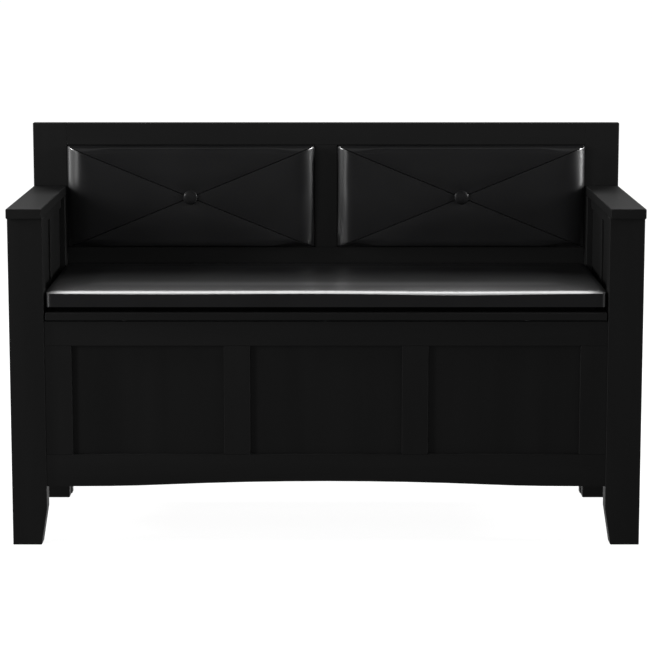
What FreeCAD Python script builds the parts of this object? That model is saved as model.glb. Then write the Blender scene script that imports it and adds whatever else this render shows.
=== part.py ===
import FreeCAD, Part
import math
import os

# Storage bench: a boxed seat with a hinged padded lid, framed sides with arms, and a
# framed back holding two buttoned cushions. Millimetres, +Z up, front towards -Y,
# origin on the floor under the middle. Left and right are as seen from the front.

V = FreeCAD.Vector
AXIS_X = V(1, 0, 0)
AXIS_Y = V(0, 1, 0)
AXIS_Z = V(0, 0, 1)

# ---- overall ----
width = 1260.0              # over the arms, and over the back
depth = 438.0               # nose of the arms to the rear of the back
height = 816.0              # floor to the top of the back
arm_height = 681.0          # floor to the top of the arms
box_top = 455.0             # floor to the top edge of the box
box_bottom = 120.0          # floor to the underside of the bottom rails, at their ends

# ---- legs and arms ----
leg_width = 69.3
leg_depth = 36.0
leg_reveal = 1.2            # leg's outer face inside the arm's outer edge
foot_width = 57.6           # front foot on the floor, after its inner taper
taper_height = 74.0
arm_thickness = 20.0
arm_nose = 10.0             # arm's overhang in front of the leg
arm_round = 2.5

# ---- framed panels ----
frame_stock = 22.0
frame_setback = 2.0         # front frame's face behind the legs' faces
front_top_rail_height = 49.0
bottom_rail_height = 65.0
end_stile_width = 53.5
mid_stile_width = 52.0
panel_thickness = 6.0
front_recess = 10.0         # front panels behind the face of their frame
groove_depth = 8.0
panel_play = 1.0            # panel's edge short of the groove's bottom
groove_clearance = 0.2      # on each face of a panel or tongue
ease = 0.6                  # broken edge on every board
leg_ease = 1.0
lid_ease = 1.5
arch_rise = 10.5
arch_end_flat = 70.0
arch_blend = 169.0          # length of the reverse curve at each end of the arch
past = 1.0                  # how far a cut runs past what it cuts
close = 0.01                # edges are told apart to within this

# ---- framed sides ----
side_setback = 8.5          # side frame's inner face outside the legs' inner faces
side_recess = 4.0           # side panels behind the inner face of their frame
side_top_rail_height = 24.0
side_mid_stile_width = 30.0

# ---- back ----
back_thickness = 23.0
back_stile_width = 72.0
back_top_rail_height = 47.0
back_mid_stile_width = 47.5
back_lower_rail_top = 547.0
back_lower_rail_height = 87.0
cover_thickness = 4.0       # thin sheet let into the rear of each opening
cover_lap = 8.0

# ---- upholstery ----
cushion_base_thickness = 9.0
cushion_gap = 1.0           # between a back cushion and its frame
cushion_proud = 27.0        # crown in front of the frame's face
cushion_round = 24.0
button_radius = 15.5
button_height = 8.0
button_dome = 5.6           # rise of the button's domed face, the rest is its rim
button_sink = 9.0           # button's seat behind the crown
dimple_radius = 34.0        # hollow that the button draws into the cushion
nail_radius = 1.5
nail_point = 3.0
nail_gap = 1.0              # between the nail and the foam
button_gap = 0.4            # between the button and the cushion
pad_thickness = 33.0
pad_base_thickness = 11.0
pad_base_inset = 20.0
pad_round = 13.0
pad_under_round = 6.0

# ---- seat lid and hinges ----
lid_thickness = 16.0
lid_gap = 2.0               # between the box and the closed lid
lid_side_gap = 2.2          # between the lid and the legs
lid_to_back = 32.0          # lid's rear edge to the back
pad_inset = 1.3             # pad inside the lid's edges
hinge_to_back = 83.0        # hinge axis to the face of the back
hinge_rail_thickness = 20.0
hinge_rail_height = 60.0
seat_rail_height = 40.0
seat_rail_thickness = 20.0
hinge_spacing = 400.0
hinge_length = 64.0
hinge_leaf_width = 26.0
hinge_leaf_thickness = 1.6
hinge_knuckles = 3
knuckle_gap = 0.2
leaf_gap = 0.5              # between a leaf's edge and the other leaf's knuckles
barrel_radius = 3.3
barrel_clearance = 0.3
pin_radius = 1.8
pin_clearance = 0.05
pin_head = 0.8
pin_head_lip = 0.6
bumper_radius = 5.0
bumper_face = 3.0           # radius of a bumper's flat top
bumper_skirt = 0.85         # height of its straight side
bumper_play = 0.3           # closed lid just above its bumpers

# ---- floor of the box ----
floor_thickness = 9.0
floor_height = 152.0        # floor to the underside of the board
floor_gap = 1.0
cleat = 18.0

# ---- joints and fixings ----
tenon_thickness = 10.0
tenon_length = 15.0
tenon_shoulder = 8.0        # above and below a tenon
groove_wall = 2.0           # between a tenon and a groove or rebate
side_tenon_shoulder = 3.0   # above the tenons of a side's top rail
tenon_clearance = 0.2       # on each side; the mortise is a little deeper too
short_tenon = 12.0          # legs into the arms, hinge rail into the seat side rails
short_tenon_thickness = 8.0
arm_tenon_shoulder = 12.0
dowel_radius = 3.0
dowel_length = 30.0
dowel_in_rail = 14.0        # the rest of it is in the side frame
dowel_spacing = 20.0
drill_clearance = 0.1
bolt_radius = 3.0
bolt_head_radius = 6.0
bolt_head_height = 4.5
bolt_length = 45.0
bolt_sink = 6.0
bolt_drop = 55.0            # upper bolts below the top of the legs

# ---- places worked out from the sizes above ----
arm_outer = width / 2
leg_outer = arm_outer - leg_reveal
leg_inner = leg_outer - leg_width
side_inner = leg_inner + side_setback
stile_inner = arm_outer - back_stile_width

leg_front = -depth / 2 + arm_nose
leg_back = leg_front + leg_depth
frame_front = leg_front + frame_setback
frame_back = frame_front + frame_stock
back_rear = depth / 2
back_front = back_rear - back_thickness
rear_leg_front = back_front - leg_depth

leg_top = arm_height - arm_thickness
front_panel_top = box_top - front_top_rail_height
bottom_rail_top = box_bottom + bottom_rail_height
side_panel_top = leg_top - side_top_rail_height
back_opening_top = height - back_top_rail_height
lower_rail_bottom = back_lower_rail_top - back_lower_rail_height

lid_bottom = box_top + lid_gap
lid_top = lid_bottom + lid_thickness
lid_half = leg_inner - lid_side_gap
lid_rear = back_front - lid_to_back
pad_bottom = lid_top + pad_base_thickness

axis_offset = barrel_radius + barrel_clearance
hinge_y = back_front - hinge_to_back
hinge_z = lid_bottom - axis_offset
hinge_rail_rear = hinge_y - axis_offset
hinge_rail_front = hinge_rail_rear - hinge_rail_thickness
seat_rail_inner = side_inner - seat_rail_thickness

front_opening = (2 * leg_inner - 2 * end_stile_width - 2 * mid_stile_width) / 3
mid_stile_middle = (front_opening + mid_stile_width) / 2


# ---- shared operations ----
def block(x0, x1, y0, y1, z0, z1):
    return Part.makeBox(x1 - x0, y1 - y0, z1 - z0, V(x0, y0, z0))


def board(x0, x1, y0, y1, z0, z1, edge=ease):
    # a board with all its edges broken
    solid = block(x0, x1, y0, y1, z0, z1)
    return solid.makeChamfer(edge, solid.Edges)


def rounded(solid, radius, picks):
    edges = [edge for edge in solid.Edges if picks(edge)]
    return solid.makeFillet(radius, edges)


def profile(points):
    return Part.Face(Part.makePolygon(points + [points[0]]))


def turned(points, place, axis):
    # spins (radius, height) points about +Z, then stands the solid at place along axis
    wire = Part.makePolygon([V(r, 0, h) for r, h in points + [points[0]]])
    solid = Part.Face(wire).revolve(V(0, 0, 0), AXIS_Z, 360)
    if solid.Volume < 0:
        solid.reverse()
    solid.Placement = FreeCAD.Placement(place, FreeCAD.Rotation(AXIS_Z, axis))
    return solid


def mirrored(solid):
    return solid.mirror(V(0, 0, 0), AXIS_X)


def both(name, right):
    return {name + "_left": mirrored(right), name + "_right": right}


# ---- side frames: legs, arm, rails, mid stile and panels ----
panel_inner = side_inner + side_recess
panel_outer = panel_inner + panel_thickness
side_outer = side_inner + frame_stock
side_middle = (leg_back + rear_leg_front) / 2
side_stile_front = side_middle - side_mid_stile_width / 2
side_stile_back = side_middle + side_mid_stile_width / 2


def side_groove(y0, y1, z0, z1):
    return block(panel_inner - groove_clearance, panel_outer + groove_clearance, y0, y1, z0, z1)


def front_leg():
    outline = [V(leg_inner, leg_front, leg_top), V(leg_outer, leg_front, leg_top),
               V(leg_outer, leg_front, 0), V(leg_outer - foot_width, leg_front, 0),
               V(leg_inner, leg_front, taper_height)]
    leg = profile(outline).extrude(V(0, leg_depth, 0))
    leg = leg.makeChamfer(leg_ease, leg.Edges)
    return leg.cut(side_groove(leg_back - groove_depth, leg_back + past,
                               bottom_rail_top - groove_depth, side_panel_top + groove_depth))


def rear_leg():
    leg = board(leg_inner, leg_outer, rear_leg_front, back_front, 0, leg_top, leg_ease)
    return leg.cut(side_groove(rear_leg_front - past, rear_leg_front + groove_depth,
                               bottom_rail_top - groove_depth, side_panel_top + groove_depth))


def arm():
    solid = block(leg_inner, arm_outer, -depth / 2, back_front, leg_top, arm_height)
    return rounded(solid, arm_round, lambda edge: edge.BoundBox.YMin < close - depth / 2)


def side_top_rail():
    rail = board(side_inner, side_outer, leg_back, rear_leg_front, side_panel_top, leg_top)
    return rail.cut(side_groove(leg_back - past, rear_leg_front + past, side_panel_top - past,
                                side_panel_top + groove_depth))


def side_bottom_rail():
    rail = board(side_inner, side_outer, leg_back, rear_leg_front, box_bottom, bottom_rail_top)
    return rail.cut(side_groove(leg_back - past, rear_leg_front + past,
                                bottom_rail_top - groove_depth, bottom_rail_top + past))


def side_mid_stile():
    stile = board(side_inner, side_outer, side_stile_front, side_stile_back,
                  bottom_rail_top, side_panel_top)
    tongue = block(panel_inner, panel_outer, side_stile_front + groove_depth,
                   side_stile_back - groove_depth, bottom_rail_top - groove_depth + panel_play,
                   side_panel_top + groove_depth - panel_play)
    stile = stile.fuse(tongue)
    low = bottom_rail_top - groove_depth
    top = side_panel_top + groove_depth
    for y0, y1 in ((side_stile_front - past, side_stile_front + groove_depth),
                   (side_stile_back - groove_depth, side_stile_back + past)):
        stile = stile.cut(side_groove(y0, y1, low, top))
    return stile


def side_panel(y0, y1):
    lap = groove_depth - panel_play
    return block(panel_inner, panel_outer, y0 - lap, y1 + lap,
                 bottom_rail_top - lap, side_panel_top + lap)


# ---- front frame: rails, stiles and three panels ----
front_panel_face = frame_front + front_recess
front_panel_rear = front_panel_face + panel_thickness


def front_groove(x0, x1, z0, z1):
    return block(x0, x1, front_panel_face - groove_clearance, front_panel_rear + groove_clearance, z0, z1)


def front_top_rail():
    rail = board(-leg_inner, leg_inner, frame_front, frame_back, front_panel_top, box_top)
    return rail.cut(front_groove(-leg_inner - past, leg_inner + past, front_panel_top - past,
                                 front_panel_top + groove_depth))


def arch_arc(middle_x, middle_z, radius, from_angle, to_angle):
    # an arc in the frame's face, with angles in radians from straight up
    angles = (from_angle, (from_angle + to_angle) / 2, to_angle)
    points = [V(middle_x + radius * math.sin(angle), frame_front, middle_z + radius * math.cos(angle))
              for angle in angles]
    return Part.Arc(*points).toShape()


def front_bottom_rail():
    half = leg_inner - arch_end_flat
    turn = 2 * math.atan(arch_rise / half)
    main_radius = (half - arch_blend) / math.sin(turn)
    blend_radius = arch_blend / math.sin(turn)
    low = box_bottom
    main_middle = low + arch_rise - main_radius
    blend_middle = low + blend_radius
    right_blend = arch_arc(half, blend_middle, blend_radius, math.pi, math.pi + turn)
    crown = arch_arc(0, main_middle, main_radius, turn, -turn)
    left_blend = arch_arc(-half, blend_middle, blend_radius, math.pi - turn, math.pi)
    corners = [V(-half, frame_front, low), V(-leg_inner, frame_front, low),
               V(-leg_inner, frame_front, bottom_rail_top), V(leg_inner, frame_front, bottom_rail_top),
               V(leg_inner, frame_front, low), V(half, frame_front, low)]
    edges = Part.makePolygon(corners).Edges + [right_blend, crown, left_blend]
    face = Part.Face(Part.Wire(Part.__sortEdges__(edges)))
    rail = face.extrude(V(0, frame_stock, 0))
    return rail.cut(front_groove(-leg_inner - past, leg_inner + past, bottom_rail_top - groove_depth,
                                 bottom_rail_top + past))


def front_stile(middle, stile_width, left_groove, right_groove):
    x0 = middle - stile_width / 2
    x1 = middle + stile_width / 2
    stile = board(x0, x1, frame_front, frame_back, bottom_rail_top, front_panel_top)
    tongue_left = x0 + groove_depth * left_groove
    tongue_right = x1 - groove_depth * right_groove
    lap = groove_depth - panel_play
    tongue = block(tongue_left, tongue_right, front_panel_face, front_panel_rear,
                   bottom_rail_top - lap, front_panel_top + lap)
    stile = stile.fuse(tongue)
    low = bottom_rail_top - groove_depth
    top = front_panel_top + groove_depth
    if left_groove:
        stile = stile.cut(front_groove(x0 - past, tongue_left, low, top))
    if right_groove:
        stile = stile.cut(front_groove(tongue_right, x1 + past, low, top))
    return stile


def front_panel(middle):
    half = front_opening / 2 + groove_depth - panel_play
    lap = groove_depth - panel_play
    return block(middle - half, middle + half, front_panel_face, front_panel_rear,
                 bottom_rail_top - lap, front_panel_top + lap)


# ---- back frame ----
def back_openings():
    # (left, right, bottom, top) of the two cushion openings and of the box's rear
    half = back_mid_stile_width / 2
    return [(-stile_inner, -half, back_lower_rail_top, back_opening_top),
            (half, stile_inner, back_lower_rail_top, back_opening_top),
            (-stile_inner, stile_inner, bottom_rail_top, lower_rail_bottom)]


def back_member(x0, x1, z0, z1):
    # a board of the back frame, with the covers' rebates cut along its rear edges
    member = board(x0, x1, back_front, back_rear, z0, z1)
    for left, right, low, top in back_openings():
        rebate = block(left - cover_lap, right + cover_lap, back_rear - cover_thickness,
                       back_rear + past, low - cover_lap, top + cover_lap)
        if rebate.BoundBox.intersect(member.BoundBox):
            member = member.cut(rebate)
    return member


def back_cover(opening):
    left, right, low, top = opening
    play = groove_clearance
    return block(left - cover_lap + play, right + cover_lap - play, back_rear - cover_thickness,
                 back_rear, low - cover_lap + play, top + cover_lap - play)


# ---- back cushions ----
cushion_left = back_mid_stile_width / 2 + cushion_gap
cushion_right = stile_inner - cushion_gap
cushion_low = back_lower_rail_top + cushion_gap
cushion_top = back_opening_top - cushion_gap
cushion_middle = V((cushion_left + cushion_right) / 2, 0, (cushion_low + cushion_top) / 2)
cushion_base_rear = back_rear - cover_thickness
cushion_base_front = cushion_base_rear - cushion_base_thickness
cushion_crown = back_front - cushion_proud
cushion_base_middle = (cushion_base_front + cushion_base_rear) / 2
button_seat = cushion_crown + button_sink


def cushion_base():
    base = block(cushion_left, cushion_right, cushion_base_front, cushion_base_rear,
                 cushion_low, cushion_top)
    return base.cut(nail_hole(pin_clearance))


def nail_hole(clearance):
    place = V(cushion_middle.x, button_seat, cushion_middle.z)
    return Part.makeCylinder(nail_radius + clearance, cushion_base_middle - button_seat, place, AXIS_Y)


def dome_ball(radius, rise):
    # radius of the ball whose cap has this rim radius and rise
    return (radius ** 2 + rise ** 2) / (2 * rise)


def back_cushion():
    pad = block(cushion_left, cushion_right, cushion_crown, cushion_base_front, cushion_low, cushion_top)
    pad = rounded(pad, cushion_round, lambda edge: edge.BoundBox.YMax < cushion_crown + close)
    ball = dome_ball(dimple_radius, button_sink)
    hollow = Part.makeSphere(ball, V(cushion_middle.x, button_seat - ball, cushion_middle.z))
    seat = V(cushion_middle.x, cushion_crown - button_sink, cushion_middle.z)
    floor = Part.makeCylinder(button_radius + nail_gap, 2 * button_sink, seat, AXIS_Y)
    return pad.cut(hollow).cut(floor).cut(nail_hole(nail_gap))


def back_button():
    # a covered tack button: a domed cap on a nail driven into the cushion's base
    place = V(cushion_middle.x, button_seat - button_gap, cushion_middle.z)
    ball = dome_ball(button_radius, button_dome)
    cap = Part.makeCylinder(button_radius, button_height, place, -AXIS_Y)
    cap = cap.common(Part.makeSphere(ball, place - AXIS_Y * (button_height - ball)))
    nail = cushion_base_middle - place.y - nail_point
    shank = Part.makeCylinder(nail_radius, nail, place, AXIS_Y)
    tip = Part.makeCone(nail_radius, 0, nail_point, place + V(0, nail, 0), AXIS_Y)
    return cap.fuse([shank, tip]).removeSplitter()


# ---- seat ----
def seat_lid():
    return board(-lid_half, lid_half, leg_front, lid_rear, lid_bottom, lid_top, lid_ease)


def seat_pad_base():
    inset = pad_inset + pad_base_inset
    return block(-lid_half + inset, lid_half - inset, leg_front + inset, lid_rear - inset,
                 lid_top, pad_bottom)


def seat_pad():
    pad_top = pad_bottom + pad_thickness
    pad = block(-lid_half + pad_inset, lid_half - pad_inset, leg_front + pad_inset,
                lid_rear - pad_inset, pad_bottom, pad_top)
    pad = rounded(pad, pad_round, lambda edge: edge.BoundBox.ZMin > pad_top - close)
    return rounded(pad, pad_under_round, lambda edge: edge.BoundBox.ZMax < pad_bottom + close)


def seat_side_rail():
    # it ends at the hinge rail, because the open lid's rear edge swings down behind
    return board(seat_rail_inner, side_inner, leg_back, hinge_rail_rear,
                 box_top - seat_rail_height, box_top)


def hinge_rail():
    return board(-seat_rail_inner, seat_rail_inner, hinge_rail_front, hinge_rail_rear,
                 box_top - hinge_rail_height, box_top)


def lid_bumpers():
    # soft buttons on the front rail that the closed lid comes down on
    rise = lid_gap - bumper_play
    middle_y = (frame_front + frame_back) / 2
    dome = [(0, 0), (bumper_radius, 0), (bumper_radius, bumper_skirt), (bumper_face, rise), (0, rise)]
    return [turned(dome, V(x, middle_y, box_top), AXIS_Z) for x in (-hinge_spacing, 0, hinge_spacing)]


# ---- hinges ----
def hinge_places():
    return [V(x, hinge_y, hinge_z) for x in (-hinge_spacing, 0, hinge_spacing)]


def knuckle_spans(outer_knuckles):
    # the stretches of the barrel that belong to one leaf: every other knuckle
    pitch = hinge_length / hinge_knuckles
    first = 0 if outer_knuckles else 1
    spans = []
    for i in range(first, hinge_knuckles, 2):
        x0 = -hinge_length / 2 + i * pitch
        spans.append((x0 + knuckle_gap / 2, x0 + pitch - knuckle_gap / 2))
    return spans


def leaf(outer_knuckles):
    # a leaf hanging below the axis, its back face at -axis_offset in Y
    back = -axis_offset
    front = back + hinge_leaf_thickness
    clear = barrel_radius + leaf_gap
    half = hinge_length / 2 - knuckle_gap / 2
    plate = block(-half, half, back, front, -hinge_leaf_width, -clear)
    for x0, x1 in knuckle_spans(outer_knuckles):
        tab = block(x0, x1, back, front, -clear, 0)
        barrel = Part.makeCylinder(barrel_radius, x1 - x0, V(x0, 0, 0), AXIS_X)
        plate = plate.fuse(tab).fuse(barrel)
    plate = plate.removeSplitter()
    return plate.cut(Part.makeCylinder(pin_radius + pin_clearance, hinge_length + 2 * past,
                                       V(-hinge_length / 2 - past, 0, 0), AXIS_X))


def hinge_fixed_leaves():
    one = leaf(True)
    return [one.translated(place) for place in hinge_places()]


def hinge_lid_leaves():
    one = leaf(False).mirror(V(0, 0, 0), AXIS_Y)
    one.rotate(V(0, 0, 0), AXIS_X, 90)
    return [one.translated(place) for place in hinge_places()]


def hinge_pins():
    # plain pins, peened to a small head at each end
    end = hinge_length / 2
    head = pin_radius + pin_head_lip
    outline = [(0, -end - pin_head), (head, -end - pin_head), (head, -end), (pin_radius, -end),
               (pin_radius, end), (head, end), (head, end + pin_head), (0, end + pin_head)]
    return [turned(outline, place, AXIS_X) for place in hinge_places()]


# ---- bolts and dowels ----
def bolt_places():
    x = (leg_inner + leg_outer) / 2
    heights = (box_bottom + bottom_rail_height / 2, leg_top - bolt_drop)
    return [V(side * x, back_rear, z) for side in (-1, 1) for z in heights]


def bolt(place, clearance=0.0):
    # flat-headed, its head let into the rear of the back; with a clearance, the hole for it
    r = bolt_radius + clearance
    h = bolt_head_radius + clearance
    crown = -bolt_sink - past if clearance else -bolt_head_height
    end = bolt_length + clearance
    outline = [(0, crown), (h, crown), (h, 0), (r, 0), (r, end), (0, end)]
    return turned(outline, place - V(0, bolt_sink, 0), V(0, -1, 0))


def dowel_places():
    # two pin each seat side rail to the middle stile of its side frame
    middle = box_top - seat_rail_height / 2
    heights = (middle - dowel_spacing / 2, middle + dowel_spacing / 2)
    return [V(side * side_inner, side_middle, z) for side in (-1, 1) for z in heights]


def dowel(centre, clearance=0.0):
    # starts in the seat side rail and ends in the stile
    outward = AXIS_X if centre.x > 0 else -AXIS_X
    start = centre - outward * (dowel_in_rail + clearance)
    return Part.makeCylinder(dowel_radius + clearance, dowel_length + 2 * clearance, start, outward)


# ---- floor of the box ----
def floor_board():
    middle = block(-side_inner + floor_gap, side_inner - floor_gap, leg_back + floor_gap,
                   rear_leg_front - floor_gap, floor_height, floor_height + floor_thickness)
    full = block(-leg_inner + floor_gap, leg_inner - floor_gap, frame_back + floor_gap,
                 back_front - floor_gap, floor_height, floor_height + floor_thickness)
    return middle.fuse(full).removeSplitter()


def floor_long_cleats():
    low = floor_height - cleat
    half = leg_inner - floor_gap
    return [board(-half, half, frame_back, frame_back + cleat, low, floor_height),
            board(-half, half, back_front - cleat, back_front, low, floor_height)]


def floor_side_cleats():
    low = floor_height - cleat
    right = board(side_inner - cleat, side_inner, frame_back + cleat + floor_gap,
                  back_front - cleat - floor_gap, low, floor_height)
    # the ends are notched round the legs
    for y0, y1 in ((frame_back, leg_back + floor_gap), (rear_leg_front - floor_gap, back_front)):
        notch = block(leg_inner - floor_gap, side_inner + past, y0, y1, low - past, floor_height + past)
        right = right.cut(notch)
    return [mirrored(right), right]


def floor_bearer():
    return board(-cleat, cleat, frame_back + cleat, back_front - cleat,
                 floor_height - cleat, floor_height)


# ---- assembly ----
def wooden_pieces():
    pieces = {}
    pieces.update(both("front_leg", front_leg()))
    pieces.update(both("rear_leg", rear_leg()))
    pieces.update(both("arm", arm()))
    pieces.update(both("side_top_rail", side_top_rail()))
    pieces.update(both("side_bottom_rail", side_bottom_rail()))
    pieces.update(both("side_mid_stile", side_mid_stile()))
    pieces.update(both("seat_side_rail", seat_side_rail()))
    pieces["front_top_rail"] = front_top_rail()
    pieces["front_bottom_rail"] = front_bottom_rail()
    end_middle = leg_inner - end_stile_width / 2
    pieces.update(both("front_end_stile", front_stile(end_middle, end_stile_width, True, False)))
    pieces.update(both("front_mid_stile", front_stile(mid_stile_middle, mid_stile_width, True, True)))
    pieces.update(both("back_stile", back_member(stile_inner, arm_outer, 0, height)))
    pieces["back_top_rail"] = back_member(-stile_inner, stile_inner, back_opening_top, height)
    pieces["back_lower_rail"] = back_member(-stile_inner, stile_inner,
                                            lower_rail_bottom, back_lower_rail_top)
    pieces["back_bottom_rail"] = back_member(-stile_inner, stile_inner, box_bottom, bottom_rail_top)
    half = back_mid_stile_width / 2
    pieces["back_mid_stile"] = back_member(-half, half, back_lower_rail_top, back_opening_top)
    pieces["hinge_rail"] = hinge_rail()
    pieces["seat_lid"] = seat_lid()
    pieces["seat_pad_base"] = seat_pad_base()
    return pieces


def on_side(sign, near, far):
    # a stretch of X on one side of the middle, its lower end first
    return tuple(sorted((sign * near, sign * far)))


def front_and_back_tenons(hand, sign):
    half = tenon_thickness / 2
    front = (frame_front + frame_back) / 2
    back = (back_front + back_rear - cover_thickness) / 2
    bottom = (box_bottom + tenon_shoulder, bottom_rail_top - groove_depth - groove_wall)
    front_top = (front_panel_top + groove_depth + groove_wall, box_top - tenon_shoulder)
    lower = (lower_rail_bottom + cover_lap + groove_wall, back_lower_rail_top - cover_lap - groove_wall)
    back_top = (back_opening_top + cover_lap + groove_wall, height - tenon_shoulder)
    into_leg = on_side(sign, leg_inner - past, leg_inner + tenon_length)
    into_stile = on_side(sign, stile_inner - past, stile_inner + tenon_length)
    across_front = (front - half, front + half)
    across_back = (back - half, back + half)
    return [("front_top_rail", "front_leg" + hand, into_leg + across_front + front_top),
            ("front_bottom_rail", "front_leg" + hand, into_leg + across_front + bottom),
            ("back_top_rail", "back_stile" + hand, into_stile + across_back + back_top),
            ("back_lower_rail", "back_stile" + hand, into_stile + across_back + lower),
            ("back_bottom_rail", "back_stile" + hand, into_stile + across_back + bottom)]


def side_tenons(hand, sign):
    middle = (side_inner + side_outer) / 2
    across = on_side(sign, middle - tenon_thickness / 2, middle + tenon_thickness / 2)
    into_front = (leg_back - tenon_length, leg_back + past)
    into_rear = (rear_leg_front - past, rear_leg_front + tenon_length)
    top = (side_panel_top + groove_depth + groove_wall, leg_top - side_tenon_shoulder)
    bottom = (box_bottom + tenon_shoulder, bottom_rail_top - groove_depth - groove_wall)
    return [(rail + hand, leg + hand, across + along + upright)
            for rail, upright in (("side_top_rail", top), ("side_bottom_rail", bottom))
            for leg, along in (("front_leg", into_front), ("rear_leg", into_rear))]


def arm_tenons(hand, sign):
    across = on_side(sign, leg_inner + arm_tenon_shoulder, leg_outer - arm_tenon_shoulder)
    upright = (leg_top - past, leg_top + short_tenon)
    found = []
    for leg, face in (("front_leg", leg_front), ("rear_leg", rear_leg_front)):
        along = (face + arm_tenon_shoulder, face + leg_depth - arm_tenon_shoulder)
        found.append((leg + hand, "arm" + hand, across + along + upright))
    return found


def hinge_rail_tenon(hand, sign):
    middle = (hinge_rail_front + hinge_rail_rear) / 2
    across = on_side(sign, seat_rail_inner - past, seat_rail_inner + short_tenon)
    along = (middle - short_tenon_thickness / 2, middle + short_tenon_thickness / 2)
    upright = (box_top - seat_rail_height + tenon_shoulder, box_top - tenon_shoulder)
    return [("hinge_rail", "seat_side_rail" + hand, across + along + upright)]


def mid_stile_tenons():
    half = back_mid_stile_width / 2 - cover_lap - groove_wall
    back = (back_front + back_rear - cover_thickness) / 2
    across = (-half, half, back - tenon_thickness / 2, back + tenon_thickness / 2)
    down = (back_lower_rail_top - tenon_length, back_lower_rail_top + past)
    up = (back_opening_top - past, back_opening_top + tenon_length)
    return [("back_mid_stile", "back_lower_rail", across + down),
            ("back_mid_stile", "back_top_rail", across + up)]


def tenons():
    # (tenoned piece, piece with the mortise, box of the tenon) of every such joint
    found = mid_stile_tenons()
    for hand, sign in (("_left", -1), ("_right", 1)):
        found += front_and_back_tenons(hand, sign)
        found += side_tenons(hand, sign)
        found += arm_tenons(hand, sign)
        found += hinge_rail_tenon(hand, sign)
    return found


def joined(pieces):
    grow = tenon_clearance
    for tenoned, mortised, (x0, x1, y0, y1, z0, z1) in tenons():
        mortise = block(x0 - grow, x1 + grow, y0 - grow, y1 + grow, z0 - grow, z1 + grow)
        pieces[mortised] = pieces[mortised].cut(mortise)
        pieces[tenoned] = pieces[tenoned].fuse(block(x0, x1, y0, y1, z0, z1))
    return pieces


def drilled(pieces, tools):
    # each piece loses the holes that reach into it
    for name, solid in pieces.items():
        near = [tool for tool in tools if tool.BoundBox.intersect(solid.BoundBox)]
        if near:
            pieces[name] = solid.cut(near)
    return pieces


def fixings():
    return {"frame_dowels": [dowel(place) for place in dowel_places()],
            "back_bolts": [bolt(p) for p in bolt_places()]}


def drill_tools():
    dowel_holes = [dowel(place, drill_clearance) for place in dowel_places()]
    return dowel_holes + [bolt(place, drill_clearance) for place in bolt_places()]


def panels():
    pieces = {}
    pieces.update(both("side_front_panel", side_panel(leg_back, side_stile_front)))
    pieces.update(both("side_rear_panel", side_panel(side_stile_back, rear_leg_front)))
    step = front_opening + mid_stile_width
    for name, middle in (("left", -step), ("middle", 0), ("right", step)):
        pieces["front_panel_" + name] = front_panel(middle)
    left, right, rear = back_openings()
    pieces["back_cover_left"] = back_cover(left)
    pieces["back_cover_right"] = back_cover(right)
    pieces["box_rear_panel"] = back_cover(rear)
    return pieces


def upholstery():
    pieces = {"seat_pad": seat_pad()}
    pieces.update(both("back_cushion", back_cushion()))
    pieces.update(both("back_cushion_base", cushion_base()))
    pieces.update(both("back_button", back_button()))
    return pieces


def everything():
    nodes = {name: [solid] for name, solid in drilled(joined(wooden_pieces()), drill_tools()).items()}
    nodes.update({name: [solid] for name, solid in panels().items()})
    nodes.update({name: [solid] for name, solid in upholstery().items()})
    nodes.update(fixings())
    nodes["hinge_fixed_leaves"] = hinge_fixed_leaves()
    nodes["hinge_lid_leaves"] = hinge_lid_leaves()
    nodes["hinge_pins"] = hinge_pins()
    nodes["lid_bumpers"] = lid_bumpers()
    nodes["floor_board"] = [floor_board()]
    nodes["floor_long_cleats"] = floor_long_cleats()
    nodes["floor_side_cleats"] = floor_side_cleats()
    nodes["floor_bearer"] = [floor_bearer()]
    return nodes


def save(nodes):
    os.makedirs("parts", exist_ok=True)
    for name, solids in nodes.items():
        shape = solids[0] if len(solids) == 1 else Part.makeCompound(solids)
        shape.exportStep("parts/" + name + ".step")
    print(len(nodes), "nodes,", sum(len(solids) for solids in nodes.values()), "solids")


save(everything())
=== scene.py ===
import bmesh
import bpy
import math
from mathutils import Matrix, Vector


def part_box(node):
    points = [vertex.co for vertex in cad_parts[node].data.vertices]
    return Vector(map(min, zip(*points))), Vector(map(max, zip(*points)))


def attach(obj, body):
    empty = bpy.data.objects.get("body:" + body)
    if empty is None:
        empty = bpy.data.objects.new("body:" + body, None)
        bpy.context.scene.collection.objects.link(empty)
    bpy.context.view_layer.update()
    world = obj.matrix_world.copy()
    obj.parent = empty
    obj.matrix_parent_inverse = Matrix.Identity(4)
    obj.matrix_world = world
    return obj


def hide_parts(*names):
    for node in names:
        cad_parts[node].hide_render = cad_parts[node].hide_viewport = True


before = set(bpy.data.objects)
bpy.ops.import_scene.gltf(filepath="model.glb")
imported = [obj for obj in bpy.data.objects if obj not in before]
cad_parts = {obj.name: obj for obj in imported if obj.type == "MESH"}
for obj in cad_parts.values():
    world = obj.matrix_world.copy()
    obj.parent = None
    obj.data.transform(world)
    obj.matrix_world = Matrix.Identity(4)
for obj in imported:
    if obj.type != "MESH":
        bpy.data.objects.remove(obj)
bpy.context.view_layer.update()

print("frame loaded:", len(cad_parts), "pieces")


view = {"place": (0.0, -4.3507, 1.1938), "pitch": math.radians(82.334), "lens": 116.93,
        "shiftX": 0.0007, "shiftY": -0.1462, "farClip": 200}


def addCamera():
    bpy.ops.object.camera_add(location=view["place"], rotation=(view["pitch"], 0, 0))
    camera = bpy.context.object
    camera.data.lens = view["lens"]
    camera.data.shift_x = view["shiftX"]
    camera.data.shift_y = view["shiftY"]
    camera.data.clip_end = view["farClip"]
    bpy.context.scene.camera = camera
    bpy.context.scene.view_settings.view_transform = "Standard"


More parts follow.
